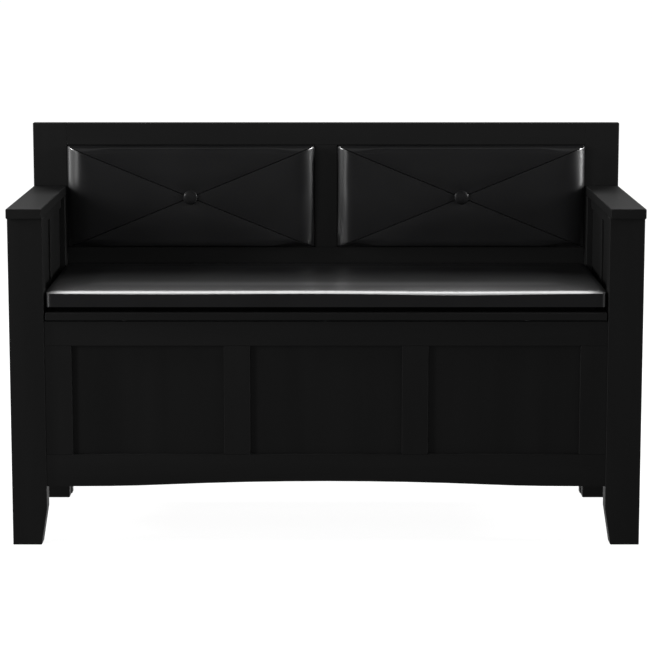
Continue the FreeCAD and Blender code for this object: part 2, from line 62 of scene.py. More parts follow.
lamps = {  # name: place, aim, width, height, watts
    "keyLamp": ((-2.6, -2.3, 2.35), (-0.1, 0.0, 0.45), 1.2, 1.2, 12),
    "leftTall": ((-2.7, -2.05, 1.15), (0.0, 0.1, 0.6), 0.75, 1.9, 70),
    "frontFill": ((0.0, -4.4, 1.15), (0.0, 0.0, 0.5), 2.0, 1.0, 78),
    "rearLamp": ((0.0, 1.7, 2.5), (0.0, -0.1, 0.45), 4.0, 0.9, 126),
    "leftEdge": ((-3.0, 0.35, 0.50), (0.0, 0.18, 0.65), 0.15, 0.9, 6),
    "leftSide": ((-3.0, -0.45, 1.65), (0.0, 0.18, 0.65), 0.15, 0.9, 124),
    "rightSide": ((3.0, -0.30, 1.50), (0.0, 0.18, 0.65), 0.15, 0.9, 158),
    "rightLow": ((3.0, 0.00, 0.42), (0.0, 0.18, 0.65), 0.12, 0.5, 8),
    "rightTop": ((2.2, -0.9, 2.5), (-0.4, 0.0, 0.6), 1.0, 1.0, 12),
    "rearLeft": ((-3.0, 3.4, 1.5), (0.0, 0.2, 0.5), 1.4, 1.4, 95),
    "rearRight": ((3.0, 3.4, 1.5), (0.0, 0.2, 0.5), 1.4, 1.4, 70),
}


def addLamps():
    for name, (place, aim, width, height, watts) in lamps.items():
        bpy.ops.object.light_add(type="AREA", location=place)
        lamp = bpy.context.object
        lamp.name = name
        lamp.data.shape = "RECTANGLE"
        lamp.data.size = width
        lamp.data.size_y = height
        lamp.data.energy = watts
        lamp.rotation_euler = (Vector(aim) - Vector(place)).to_track_quat("-Z", "Y").to_euler()


room = {"floorSize": 160.0, "floorColour": (0.11, 0.11, 0.11, 1), "seenColour": (0.12, 0.12, 0.12, 1),
        "nearLift": 0.93, "farLift": 1.0, "nearReach": 0.9, "farReach": 3.5, "air": 0.26}


def addNode(tree, kind, **settings):
    made = tree.nodes.new("ShaderNode" + kind)
    for name, value in settings.items():
        setattr(made, name, value)
    return made


def addRoom():
    bpy.ops.mesh.primitive_plane_add(size=room["floorSize"], location=(0, 0, 0))
    floor = bpy.context.object
    floor.name = "studioFloor"
    floor.data.materials.append(floorMaterial())
    bpy.context.scene.world = airWorld()


def airWorld():
    # an even light from all round, white where the camera looks past the floor
    world = bpy.data.worlds.new("studioAir")
    world.use_nodes = True
    tree = world.node_tree
    path = addNode(tree, "LightPath")
    strength = addNode(tree, "Math", operation="MAXIMUM")
    strength.inputs[1].default_value = room["air"]
    tree.links.new(path.outputs["Is Camera Ray"], strength.inputs[0])
    background = tree.nodes["Background"]
    background.inputs["Color"].default_value = (1, 1, 1, 1)
    tree.links.new(strength.outputs[0], background.inputs["Strength"])
    return world


def floorMaterial():
    # white to the camera and in reflections, with the bench's shadow left in it
    material = bpy.data.materials.new("paperWhite")
    material.use_nodes = True
    tree = material.node_tree
    tree.nodes.clear()
    out = addNode(tree, "OutputMaterial")
    paper = addNode(tree, "BsdfDiffuse")
    tint = addNode(tree, "Mix", data_type="RGBA")
    tint.inputs["A"].default_value = room["floorColour"]
    tint.inputs["B"].default_value = room["seenColour"]
    glow = addNode(tree, "Emission")
    path = addNode(tree, "LightPath")
    seen = addNode(tree, "Math", operation="MAXIMUM")
    through = addNode(tree, "Math", operation="MAXIMUM")
    lift = addNode(tree, "Math", operation="MULTIPLY")
    place = addNode(tree, "TexCoord")
    away = addNode(tree, "VectorMath", operation="LENGTH")
    fade = addNode(tree, "MapRange", interpolation_type="SMOOTHSTEP")
    fade.inputs["From Min"].default_value = room["nearReach"]
    fade.inputs["From Max"].default_value = room["farReach"]
    fade.inputs["To Min"].default_value = room["nearLift"]
    fade.inputs["To Max"].default_value = room["farLift"]
    tree.links.new(place.outputs["Object"], away.inputs[0])
    tree.links.new(away.outputs["Value"], fade.inputs["Value"])
    tree.links.new(fade.outputs["Result"], lift.inputs[1])
    both = addNode(tree, "AddShader")
    tree.links.new(path.outputs["Is Camera Ray"], seen.inputs[0])
    tree.links.new(path.outputs["Is Glossy Ray"], seen.inputs[1])
    tree.links.new(seen.outputs[0], through.inputs[0])
    tree.links.new(path.outputs["Is Transmission Ray"], through.inputs[1])
    tree.links.new(through.outputs[0], lift.inputs[0])
    tree.links.new(through.outputs[0], tint.inputs["Factor"])
    tree.links.new(tint.outputs["Result"], paper.inputs["Color"])
    tree.links.new(lift.outputs[0], glow.inputs["Strength"])
    tree.links.new(paper.outputs[0], both.inputs[0])
    tree.links.new(glow.outputs[0], both.inputs[1])
    tree.links.new(both.outputs[0], out.inputs["Surface"])
    return material


addCamera()
addLamps()
addRoom()
print("camera, lamps and room made")


def newGroup(name, inputs, outputs):
    tree = bpy.data.node_groups.new(name, "ShaderNodeTree")
    for label, kind in inputs:
        tree.interface.new_socket(name=label, in_out="INPUT", socket_type=kind)
    for label, kind in outputs:
        tree.interface.new_socket(name=label, in_out="OUTPUT", socket_type=kind)
    return tree, tree.nodes.new("NodeGroupInput"), tree.nodes.new("NodeGroupOutput")


poreNoise = {"detail": 4, "cloudScale": 1.3, "cloudDetail": 3}


def paintGrainGroup():
    # brush-flat lacquer with the wood's pores just telegraphing through it
    tree, given, result = newGroup("paintGrain",
                                   [("Vector", "NodeSocketVector"), ("Pores", "NodeSocketFloat")],
                                   [("Height", "NodeSocketFloat"), ("Cloud", "NodeSocketFloat")])
    pores = addNode(tree, "TexNoise")
    pores.inputs["Detail"].default_value = poreNoise["detail"]
    cloud = addNode(tree, "TexNoise")
    cloud.inputs["Scale"].default_value = poreNoise["cloudScale"]
    cloud.inputs["Detail"].default_value = poreNoise["cloudDetail"]
    tree.links.new(given.outputs["Vector"], pores.inputs["Vector"])
    tree.links.new(given.outputs["Pores"], pores.inputs["Scale"])
    tree.links.new(given.outputs["Vector"], cloud.inputs["Vector"])
    tree.links.new(pores.outputs["Fac"], result.inputs["Height"])
    tree.links.new(cloud.outputs["Fac"], result.inputs["Cloud"])
    return tree


pebbleNoise = {"smoothness": 0.6, "wobbleScale": 60, "wobbleShare": 0.35, "cloudScale": 7, "cloudDetail": 4}


def leatherGrainGroup():
    # rounded pebbles with fine pores between them
    tree, given, result = newGroup("leatherGrain",
                                   [("Vector", "NodeSocketVector"), ("Pebbles", "NodeSocketFloat")],
                                   [("Height", "NodeSocketFloat"), ("Cloud", "NodeSocketFloat")])
    pebbles = addNode(tree, "TexVoronoi", feature="SMOOTH_F1")
    pebbles.inputs["Smoothness"].default_value = pebbleNoise["smoothness"]
    wobble = addNode(tree, "TexNoise")
    wobble.inputs["Scale"].default_value = pebbleNoise["wobbleScale"]
    cloud = addNode(tree, "TexNoise")
    cloud.inputs["Scale"].default_value = pebbleNoise["cloudScale"]
    cloud.inputs["Detail"].default_value = pebbleNoise["cloudDetail"]
    blend = addNode(tree, "Math", operation="MULTIPLY_ADD")
    blend.inputs[1].default_value = pebbleNoise["wobbleShare"]
    tree.links.new(given.outputs["Vector"], pebbles.inputs["Vector"])
    tree.links.new(given.outputs["Pebbles"], pebbles.inputs["Scale"])
    tree.links.new(given.outputs["Vector"], wobble.inputs["Vector"])
    tree.links.new(given.outputs["Vector"], cloud.inputs["Vector"])
    tree.links.new(wobble.outputs["Fac"], blend.inputs[0])
    tree.links.new(pebbles.outputs["Distance"], blend.inputs[2])
    tree.links.new(blend.outputs[0], result.inputs["Height"])
    tree.links.new(cloud.outputs["Fac"], result.inputs["Cloud"])
    return tree


paintGrain = paintGrainGroup()
leatherGrain = leatherGrainGroup()
even = (1, 1, 1)  # a stretch that leaves a grain as it is


def placedGroup(tree, group, stretch, **values):
    # the group on Object coordinates, stretched along the grain
    made = addNode(tree, "Group", node_tree=group)
    place = addNode(tree, "TexCoord")
    mapping = addNode(tree, "Mapping")
    mapping.inputs["Scale"].default_value = stretch
    tree.links.new(place.outputs["Object"], mapping.inputs["Vector"])
    tree.links.new(mapping.outputs["Vector"], made.inputs["Vector"])
    for name, value in values.items():
        made.inputs[name].default_value = value
    return made


noiseRange = (0.3, 0.7)  # the part of a noise's 0 to 1 that carries its pattern


def spread(tree, source, low, high):
    # a number over the surface, from low to high
    made = addNode(tree, "MapRange")
    made.inputs["From Min"].default_value = noiseRange[0]
    made.inputs["From Max"].default_value = noiseRange[1]
    made.inputs["To Min"].default_value = low
    made.inputs["To Max"].default_value = high
    tree.links.new(source, made.inputs["Value"])
    return made.outputs["Result"]


def newMaterial(name):
    material = bpy.data.materials.new(name)
    material.use_nodes = True
    return material, material.node_tree, material.node_tree.nodes["Principled BSDF"]


def addBump(tree, shader, height, strength, distance):
    bump = addNode(tree, "Bump")
    bump.inputs["Strength"].default_value = strength
    bump.inputs["Distance"].default_value = distance
    tree.links.new(height, bump.inputs["Height"])
    tree.links.new(bump.outputs["Normal"], shader.inputs["Normal"])


def twoTone(tree, shader, source, dark, light):
    ramp = addNode(tree, "ValToRGB")
    ramp.color_ramp.elements[0].position = noiseRange[0]
    ramp.color_ramp.elements[0].color = dark
    ramp.color_ramp.elements[1].position = noiseRange[1]
    ramp.color_ramp.elements[1].color = light
    tree.links.new(source, ramp.inputs["Fac"])
    tree.links.new(ramp.outputs["Color"], shader.inputs["Base Color"])


paint = {"dark": (0.0049, 0.0049, 0.0049, 1), "light": (0.0059, 0.0059, 0.0059, 1), "gloss": 0.012,
         "coatRough": 0.42, "coatMost": 0.05, "coatLeft": 1.0, "smooth": 0.40, "rough": 0.46,
         "pores": 26.0, "relief": 0.10, "depth": 0.0004}
coat = {"blend": 0.5, "grows": (0.02, 0.25), "wears": (0.66, 0.84)}  # over Facing, 0 head on, 1 edge on


def addRamp(tree, source, start, end, first, last):
    made = addNode(tree, "MapRange", interpolation_type="SMOOTHSTEP")
    made.inputs["From Min"].default_value = start
    made.inputs["From Max"].default_value = end
    made.inputs["To Min"].default_value = first
    made.inputs["To Max"].default_value = last
    tree.links.new(source, made.inputs["Value"])
    return made.outputs["Result"]


def oblique(tree, shader, most, left):
    # a coat that grows as the surface turns away, and is worn off where it is seen edge on
    facing = addNode(tree, "LayerWeight")
    facing.inputs["Blend"].default_value = coat["blend"]
    weight = addNode(tree, "Math", operation="MULTIPLY")
    tree.links.new(addRamp(tree, facing.outputs["Facing"], *coat["grows"], 0.0, most), weight.inputs[0])
    tree.links.new(addRamp(tree, facing.outputs["Facing"], *coat["wears"], 1.0, left), weight.inputs[1])
    tree.links.new(weight.outputs[0], shader.inputs["Coat Weight"])


def blackPaint(name, stretch):
    material, tree, shader = newMaterial(name)
    grain = placedGroup(tree, paintGrain, stretch, Pores=paint["pores"])
    twoTone(tree, shader, grain.outputs["Cloud"], paint["dark"], paint["light"])
    roughness = spread(tree, grain.outputs["Cloud"], paint["smooth"], paint["rough"])
    tree.links.new(roughness, shader.inputs["Roughness"])
    shader.inputs["Specular IOR Level"].default_value = paint["gloss"]
    shader.inputs["Coat Roughness"].default_value = paint["coatRough"]
    oblique(tree, shader, paint["coatMost"], paint["coatLeft"])
    addBump(tree, shader, grain.outputs["Height"], paint["relief"], paint["depth"])
    return material


vinyl = {"dark": (0.0036, 0.0036, 0.0038, 1), "light": (0.0052, 0.0052, 0.0054, 1), "gloss": 0.036,
         "smooth": 0.46, "rough": 0.54, "pebbles": 620.0, "relief": 0.20, "depth": 0.0003,
         "coatRough": 0.28, "coatMost": 1.0, "coatLeft": 0.14, "buttonCoat": 0.12}


def blackVinyl(name, coatMost):
    material, tree, shader = newMaterial(name)
    grain = placedGroup(tree, leatherGrain, even, Pebbles=vinyl["pebbles"])
    # painted shade: the seam lines' attribute darkens the vinyl's tone along the diagonal seams
    paintedSeamShade = addNode(tree, "Attribute", attribute_name="paintedSeamShade")
    shade = addNode(tree, "Math", operation="SUBTRACT")
    tree.links.new(grain.outputs["Cloud"], shade.inputs[0])
    tree.links.new(paintedSeamShade.outputs["Fac"], shade.inputs[1])
    twoTone(tree, shader, shade.outputs[0], vinyl["dark"], vinyl["light"])
    roughness = spread(tree, grain.outputs["Cloud"], vinyl["smooth"], vinyl["rough"])
    tree.links.new(roughness, shader.inputs["Roughness"])
    shader.inputs["Specular IOR Level"].default_value = vinyl["gloss"]
    shader.inputs["Coat Roughness"].default_value = vinyl["coatRough"]
    oblique(tree, shader, coatMost, vinyl["coatLeft"])
    addBump(tree, shader, grain.outputs["Height"], vinyl["relief"], vinyl["depth"])
    return material


bareWood = {"dark": (0.42, 0.28, 0.16, 1), "light": (0.60, 0.43, 0.27, 1), "pores": 24.0,
            "stretch": (1.2, 14, 14), "rough": 0.75, "relief": 0.2, "depth": 0.0004}


def rawWood():
    material, tree, shader = newMaterial("rawWood")
    grain = placedGroup(tree, paintGrain, bareWood["stretch"], Pores=bareWood["pores"])
    twoTone(tree, shader, grain.outputs["Height"], bareWood["dark"], bareWood["light"])
    shader.inputs["Roughness"].default_value = bareWood["rough"]
    addBump(tree, shader, grain.outputs["Height"], bareWood["relief"], bareWood["depth"])
    return material


zinc = {"dark": (0.48, 0.47, 0.44, 1), "light": (0.66, 0.65, 0.62, 1), "pores": 9.0,
        "stretch": (8, 90, 90), "smooth": 0.28, "rough": 0.42}


def zincSteel():
    material, tree, shader = newMaterial("zincSteel")
    grain = placedGroup(tree, paintGrain, zinc["stretch"], Pores=zinc["pores"])
    twoTone(tree, shader, grain.outputs["Cloud"], zinc["dark"], zinc["light"])
    shader.inputs["Metallic"].default_value = 1.0
    roughness = spread(tree, grain.outputs["Height"], zinc["smooth"], zinc["rough"])
    tree.links.new(roughness, shader.inputs["Roughness"])
    return material


rubber = {"dark": (0.010, 0.010, 0.010, 1), "light": (0.016, 0.016, 0.016, 1), "pebbles": 1500.0,
          "rough": 0.8, "relief": 0.1, "depth": 0.0002}


def darkRubber():
    material, tree, shader = newMaterial("darkRubber")
    grain = placedGroup(tree, leatherGrain, even, Pebbles=rubber["pebbles"])
    twoTone(tree, shader, grain.outputs["Cloud"], rubber["dark"], rubber["light"])
    shader.inputs["Roughness"].default_value = rubber["rough"]
    addBump(tree, shader, grain.outputs["Height"], rubber["relief"], rubber["depth"])
    return material


board = {"dark": (0.0048, 0.0046, 0.0044, 1), "light": (0.0078, 0.0074, 0.0070, 1), "pores": 60.0,
         "smooth": 0.62, "rough": 0.78, "gloss": 0.05, "relief": 0.12, "depth": 0.0003}


def stainedBoard():
    # pressed board under one coat of black stain, matt and a little uneven
    material, tree, shader = newMaterial("stainedBoard")
    grain = placedGroup(tree, paintGrain, even, Pores=board["pores"])
    twoTone(tree, shader, grain.outputs["Height"], board["dark"], board["light"])
    roughness = spread(tree, grain.outputs["Cloud"], board["smooth"], board["rough"])
    tree.links.new(roughness, shader.inputs["Roughness"])
    shader.inputs["Specular IOR Level"].default_value = board["gloss"]
    addBump(tree, shader, grain.outputs["Height"], board["relief"], board["depth"])
    return material


# a black cloth's colour pushed darker still: painted shadow for the gap between the seat pad and the lid
liningAndShadow = {"dark": (0.0008, 0.0008, 0.0008, 1), "light": (0.0014, 0.0014, 0.0014, 1), "weave": 1800.0,
          "rough": 0.95, "relief": 0.1, "depth": 0.0001}


def dustClothAndShadow():
    # the thin black cloth stapled under the seat's board, made far darker than the other blacks as painted
    # shadow in the gap under the seat pad
    material, tree, shader = newMaterial("dustClothAndShadow")
    grain = placedGroup(tree, leatherGrain, even, Pebbles=liningAndShadow["weave"])
    twoTone(tree, shader, grain.outputs["Cloud"], liningAndShadow["dark"], liningAndShadow["light"])
    shader.inputs["Roughness"].default_value = liningAndShadow["rough"]
    shader.inputs["Specular IOR Level"].default_value = 0.0
    addBump(tree, shader, grain.outputs["Height"], liningAndShadow["relief"], liningAndShadow["depth"])
    return material


bolt = {"dark": (0.010, 0.010, 0.010, 1), "light": (0.020, 0.020, 0.021, 1), "pores": 90.0,
        "smooth": 0.40, "rough": 0.55, "metal": 0.6}


def blackSteel():
    material, tree, shader = newMaterial("blackSteel")
    grain = placedGroup(tree, paintGrain, even, Pores=bolt["pores"])
    twoTone(tree, shader, grain.outputs["Cloud"], bolt["dark"], bolt["light"])
    roughness = spread(tree, grain.outputs["Height"], bolt["smooth"], bolt["rough"])
    tree.links.new(roughness, shader.inputs["Roughness"])
    shader.inputs["Metallic"].default_value = bolt["metal"]
    return material


along = {"X": (1.2, 16, 16), "Y": (16, 1.2, 16), "Z": (16, 16, 1.2)}
paints = {axis: blackPaint("blackPaint" + axis, stretch) for axis, stretch in along.items()}
vinylCover = blackVinyl("blackVinyl", vinyl["coatMost"])
buttonCover = blackVinyl("buttonVinyl", vinyl["buttonCoat"])
dowelWood = rawWood()
darkBoard = stainedBoard()
# the seat pad's base board in painted shadow, so the gap under the pad reads dark
underClothAndShadow = dustClothAndShadow()
boltSteel = blackSteel()
hingeSteel = zincSteel()
bumperRubber = darkRubber()

runsX = ("front_top_rail", "front_bottom_rail", "back_top_rail", "back_lower_rail", "back_bottom_rail",
         "seat_lid", "hinge_rail")
runsY = ("arm_", "side_top_rail_", "side_bottom_rail_", "seat_side_rail_")
boards = ("floor_", "box_rear_panel", "back_cover_")
plain = {"back_cushion_base_left": darkBoard, "back_cushion_base_right": darkBoard,
         "frame_dowels": dowelWood,
         "back_button_left": buttonCover, "back_button_right": buttonCover,
         "hinge_fixed_leaves": hingeSteel, "hinge_lid_leaves": hingeSteel, "hinge_pins": hingeSteel,
         "back_bolts": boltSteel, "lid_bumpers": bumperRubber, "seat_pad_base": underClothAndShadow,
         "seat_pad": vinylCover, "back_cushion_left": vinylCover, "back_cushion_right": vinylCover}


def finishFor(name):
    if name in plain:
        return plain[name]
    if name.startswith(boards):
        return darkBoard
    if name in runsX:
        return paints["X"]
    if name.startswith(runsY):
        return paints["Y"]
    return paints["Z"]


def finishFrame():
    for name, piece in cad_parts.items():
        piece.data.materials.clear()
        piece.data.materials.append(finishFor(name))


finishFrame()
print("frame finished")


def deselectAll():
    if bpy.context.object and bpy.context.object.mode != "OBJECT":
        bpy.ops.object.mode_set(mode="OBJECT")
    bpy.ops.object.select_all(action="DESELECT")


def pick(piece):
    deselectAll()
    piece.select_set(True)
    bpy.context.view_layer.objects.active = piece


def editOnly(piece, kind, wanted):
    # goes into edit mode with just the wanted edges or faces selected
    bpy.ops.object.mode_set(mode="EDIT")
    bpy.ops.mesh.select_mode(type=kind)
    bpy.ops.mesh.select_all(action="DESELECT")
    mesh = bmesh.from_edit_mesh(piece.data)
    for part in mesh.faces if kind == "FACE" else mesh.edges:
        part.select = wanted(part)
    bmesh.update_edit_mesh(piece.data)


def startBlock(name, low, high):
    deselectAll()
    bpy.ops.mesh.primitive_cube_add(size=1, location=(low + high) / 2)
    piece = bpy.context.object
    piece.name = name
    piece.dimensions = high - low
    bpy.ops.object.transform_apply(location=True, rotation=True, scale=True)
    return piece


def runsAlong(edge, axis):
    run = edge.verts[1].co - edge.verts[0].co
    return abs(run[axis]) > 0.999 * run.length


def cutAlong(piece, axis, cuts):
    # divides every edge that runs along one axis, like a loop cut with many rings
    editOnly(piece, "EDGE", lambda edge: runsAlong(edge, axis))
    bpy.ops.mesh.subdivide(number_cuts=cuts)
    bpy.ops.object.mode_set(mode="OBJECT")


def spots(piece):
    return [vertex.co.copy() for vertex in piece.data.vertices]


def reshape(piece, move):
    for vertex in piece.data.vertices:
        vertex.co = move(vertex.co)
    piece.data.update()


def holdGroup(piece, name, weigh):
    group = piece.vertex_groups.new(name=name)
    for vertex in piece.data.vertices:
        group.add([vertex.index], weigh(vertex.co), "REPLACE")
    return group


blowing = {"frames": 20, "quality": 5}


def inflate(piece, hold, pressure, most):
    # blows the cover up like a filled bag, then limits how far each point has gone
    before = spots(piece)
    cloth = piece.modifiers.new("cloth", "CLOTH")
    cloth.settings.use_pressure = True
    cloth.settings.uniform_pressure_force = pressure
    cloth.settings.effector_weights.gravity = 0
    cloth.settings.vertex_group_mass = hold.name
    cloth.settings.quality = blowing["quality"]
    cloth.point_cache.frame_end = blowing["frames"]
    for step in range(1, blowing["frames"] + 1):
        bpy.context.scene.frame_set(step)
    pick(piece)
    bpy.ops.object.modifier_apply(modifier="cloth")
    bpy.context.scene.frame_set(1)
    for vertex, start in zip(piece.data.vertices, before):
        gone = vertex.co - start
        if gone.length > 0:
            vertex.co = start + gone.normalized() * most * math.tanh(gone.length / most)
    piece.data.update()


def subdivided(piece, levels):
    pick(piece)
    fine = piece.modifiers.new("fine", "SUBSURF")
    fine.levels = levels
    fine.render_levels = levels
    bpy.ops.object.modifier_apply(modifier="fine")


def smoothed(piece, angle):
    pick(piece)
    bpy.ops.object.shade_smooth_by_angle(angle=math.radians(angle))


def eased(value, low, high):
    share = min(1, max(0, (value - low) / (high - low)))
    return share * share * (3 - 2 * share)


def bell(x, middle, width):
    return math.exp(-((x - middle) / width) ** 2)


seat = {"cutsX": 150, "cutsY": 48, "cutsZ": 6, "pull": 0.6, "cornerRound": 0.010, "edgeDrop": 0.0031,
        "edgeRoll": 0.0165, "sideDrop": 0.0030, "sideRoll": 0.014, "rollPower": 2.0, "crown": 0.003,
        "frontLow": 0.0028, "frontReach": 0.09, "sags": ((-0.0034, 0.262, 0.16), (-0.0013, -0.33, 0.20)),
        "pressure": 3.0, "most": 0.002, "heldHeight": 0.7, "holdFrom": 0.03, "holdTo": 0.10,
        "smoothAngle": 38}


def crowded(value, low, high, pull):
    # moves evenly spaced rows towards the two ends, where the cover turns over
    middle = (low + high) / 2
    half = (high - low) / 2
    share = (value - middle) / half
    return middle + half * (share + pull * math.sin(math.pi * share) / math.pi)


def seatSag(x):
    # where the front edge has been sat on a little
    return sum(depth * bell(x, middle, width) for depth, middle, width in seat["sags"])


def roundedCorner(spot, low, high, radius):
    # pulls the four upright corners in to a round
    core = Vector((min(max(spot.x, low.x + radius), high.x - radius),
                   min(max(spot.y, low.y + radius), high.y - radius), spot.z))
    out = spot - core
    reach = max(abs(out.x), abs(out.y))
    if reach > 0:
        out = out.normalized() * reach
    return core + out


def seatSpot(spot, low, high):
    spot = Vector((crowded(spot.x, low.x, high.x, seat["pull"]),
                   crowded(spot.y, low.y, high.y, seat["pull"]), spot.z))
    spot = roundedCorner(spot, low, high, seat["cornerRound"])
    height = (spot.z - low.z) / (high.z - low.z)
    ends = min(spot.y - low.y, high.y - spot.y)
    sides = min(spot.x - low.x, high.x - spot.x)
    drop = max(seat["edgeDrop"] * max(0, 1 - ends / seat["edgeRoll"]) ** seat["rollPower"],
               seat["sideDrop"] * max(0, 1 - sides / seat["sideRoll"]) ** seat["rollPower"])
    acrossShare = 1 - (2 * (spot.y - low.y) / (high.y - low.y) - 1) ** 2
    alongShare = 1 - (2 * (spot.x - low.x) / (high.x - low.x) - 1) ** 8
    front = max(0, 1 - (spot.y - low.y) / seat["frontReach"]) ** 2
    rise = seat["crown"] * acrossShare * alongShare + (seatSag(spot.x) - seat["frontLow"]) * front - drop
    spot.z = spot.z + rise * height
    return spot


def seatHold(spot, low, high):
    height = (spot.z - low.z) / (high.z - low.z)
    inner = min(spot.x - low.x, high.x - spot.x, spot.y - low.y, high.y - spot.y)
    return 1.0 if height < seat["heldHeight"] else 1.0 - eased(inner, seat["holdFrom"], seat["holdTo"])


def makeSeatCushion():
    low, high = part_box("seat_pad")
    piece = startBlock("seatCushion", low, high)
    cutAlong(piece, 0, seat["cutsX"])
    cutAlong(piece, 1, seat["cutsY"])
    cutAlong(piece, 2, seat["cutsZ"])
    reshape(piece, lambda spot: seatSpot(spot, low, high))
    hold = holdGroup(piece, "stapled", lambda spot: seatHold(spot, low, high))
    inflate(piece, hold, seat["pressure"], seat["most"])
    smoothed(piece, seat["smoothAngle"])
    piece.data.materials.append(vinylCover)
    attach(piece, "lid")
    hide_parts("seat_pad")
    return piece


pillow = {"cuts": 47, "edgeDepth": 0.021, "edgeShare": 0.225, "fullShare": 0.035, "fullFrom": 0.03,
          "fullTo": 0.10, "rollPower": 3.6, "dent": 0.004, "dentWidth": 0.016, "sideSteps": 4,
          "pressure": 2.0, "most": 0.0025, "seamWidth": 0.0012, "seamDepth": 0.0022,
          "lean": 0.0082, "leanHigh": 0.115, "leanPower": 1.5, "smoothAngle": 38}
seam = {"found": 0.005, "held": 0.002, "middle": 0.0012, "slack": 0.0005, "sideSlack": 0.001}


def panelShare(spot, low, high):
    # 0 at the nearest edge of the cushion, 1 at its middle, the same on both sides of a diagonal seam
    middle = (low + high) / 2
    half = (high - low) / 2
    return 1 - max(abs(spot.x - middle.x) / half.x, abs(spot.z - middle.z) / half.z)


def edgeShare(spot, low, high):
    # the roll along the top and bottom is tighter away from the corners
    middle = (low + high) / 2
    half = (high - low) / 2
    if abs(spot.x - middle.x) / half.x > abs(spot.z - middle.z) / half.z:
        return pillow["edgeShare"]
    fromCorner = half.x - abs(spot.x - middle.x)
    full = eased(fromCorner, pillow["fullFrom"], pillow["fullTo"])
    return pillow["edgeShare"] + (pillow["fullShare"] - pillow["edgeShare"]) * full


def pillowFront(spot, low, high):
    share = panelShare(spot, low, high)
    middle = (low + high) / 2
    back = pillow["edgeDepth"] * max(0, 1 - share / edgeShare(spot, low, high)) ** pillow["rollPower"]
    away = math.hypot(spot.x - middle.x, spot.z - middle.z)
    back += pillow["dent"] * math.exp(-(away / pillow["dentWidth"]) ** 2)
    # thinner towards the foot, where the raised lid's pad comes close
    foot = max(0, 1 - (spot.z - low.z) / pillow["leanHigh"])
    back = min(back + pillow["lean"] * foot ** pillow["leanPower"], pillow["edgeDepth"])
    return Vector((spot.x, low.y + back, spot.z))


def startPanel(name, low, high):
    # a flat upright sheet with its diagonals, each triangle evenly divided
    deselectAll()
    middle = (low + high) / 2
    bpy.ops.mesh.primitive_plane_add(size=1, location=(middle.x, low.y, middle.z),
                                     rotation=(math.pi / 2, 0, 0))
    piece = bpy.context.object
    piece.name = name
    piece.scale = (high.x - low.x, high.z - low.z, 1)
    bpy.ops.object.transform_apply(location=True, rotation=True, scale=True)
    bpy.ops.object.mode_set(mode="EDIT")
    bpy.ops.mesh.select_all(action="SELECT")
    bpy.ops.mesh.poke()
    bpy.ops.mesh.subdivide(number_cuts=pillow["cuts"])
    bpy.ops.object.mode_set(mode="OBJECT")
    return piece


def closeSides(piece, low, high):
    # the cover turns back to the board behind it; closeBack closes it across the back
    editOnly(piece, "EDGE", lambda edge: edge.is_boundary)
    reach = (high.y - low.y - pillow["edgeDepth"]) / pillow["sideSteps"]
    for step in range(pillow["sideSteps"]):
        bpy.ops.mesh.extrude_region_move(TRANSFORM_OT_translate={"value": (0, reach, 0)})
    bpy.ops.mesh.select_all(action="SELECT")
    bpy.ops.mesh.normals_make_consistent(inside=False)
    bpy.ops.object.mode_set(mode="OBJECT")


def closeBack(piece):
    bpy.ops.object.mode_set(mode="EDIT")
    bpy.ops.mesh.select_mode(type="EDGE")
    bpy.ops.mesh.select_all(action="DESELECT")
    bpy.ops.mesh.select_non_manifold()
    bpy.ops.mesh.edge_face_add()
    bpy.ops.object.mode_set(mode="OBJECT")


def onSeam(spot, low, high):
    # how far off the nearest diagonal, as a share of the cushion's half height
    middle = (low + high) / 2
    half = (high - low) / 2
    return abs(abs(spot.x - middle.x) / half.x - abs(spot.z - middle.z) / half.z)


def sewSeams(piece, low, high):
    # opens each diagonal into a narrow strip, then draws its middle in
    front = low.y + pillow["edgeDepth"] + seam["slack"]
    editOnly(piece, "EDGE", lambda edge: all(onSeam(vertex.co, low, high) < seam["found"] and
                                             vertex.co.y < front for vertex in edge.verts))
    bpy.ops.mesh.bevel(offset=pillow["seamWidth"], segments=2, affect="EDGES")
    bpy.ops.object.mode_set(mode="OBJECT")
    # marks the drawn-in middle of each seam, where the vinyl's colour takes painted shade
    paintedSeamShade = piece.data.attributes.new("paintedSeamShade", "FLOAT", "POINT")
    for vertex in piece.data.vertices:
        if onSeam(vertex.co, low, high) < seam["middle"] and vertex.co.y < front:
            vertex.co.y += pillow["seamDepth"]
            paintedSeamShade.data[vertex.index].value = 1.0
    piece.data.update()


def pillowHold(spot, low, high):
    if spot.y > low.y + pillow["edgeDepth"] - seam["sideSlack"]:
        return 1.0
    return 1.0 if onSeam(spot, low, high) < seam["held"] else 0.0


def makeBackCushion(hand):
    low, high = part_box("back_cushion_" + hand)
    piece = startPanel("backCushion" + hand.capitalize(), low, high)
    reshape(piece, lambda spot: pillowFront(spot, low, high))
    closeSides(piece, low, high)
    hold = holdGroup(piece, "stitched", lambda spot: pillowHold(spot, low, high))
    inflate(piece, hold, pillow["pressure"], pillow["most"])
    subdivided(piece, 1)
    closeBack(piece)
    sewSeams(piece, low, high)
    smoothed(piece, pillow["smoothAngle"])
    piece.data.materials.append(vinylCover)
    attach(piece, "frame")
    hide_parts("back_cushion_" + hand)
    return piece


button = {"radius": 0.0158, "rim": 0.0030, "dome": 0.0062, "rings": 7, "front": 0.1650, "around": 56,
          "smoothAngle": 50}


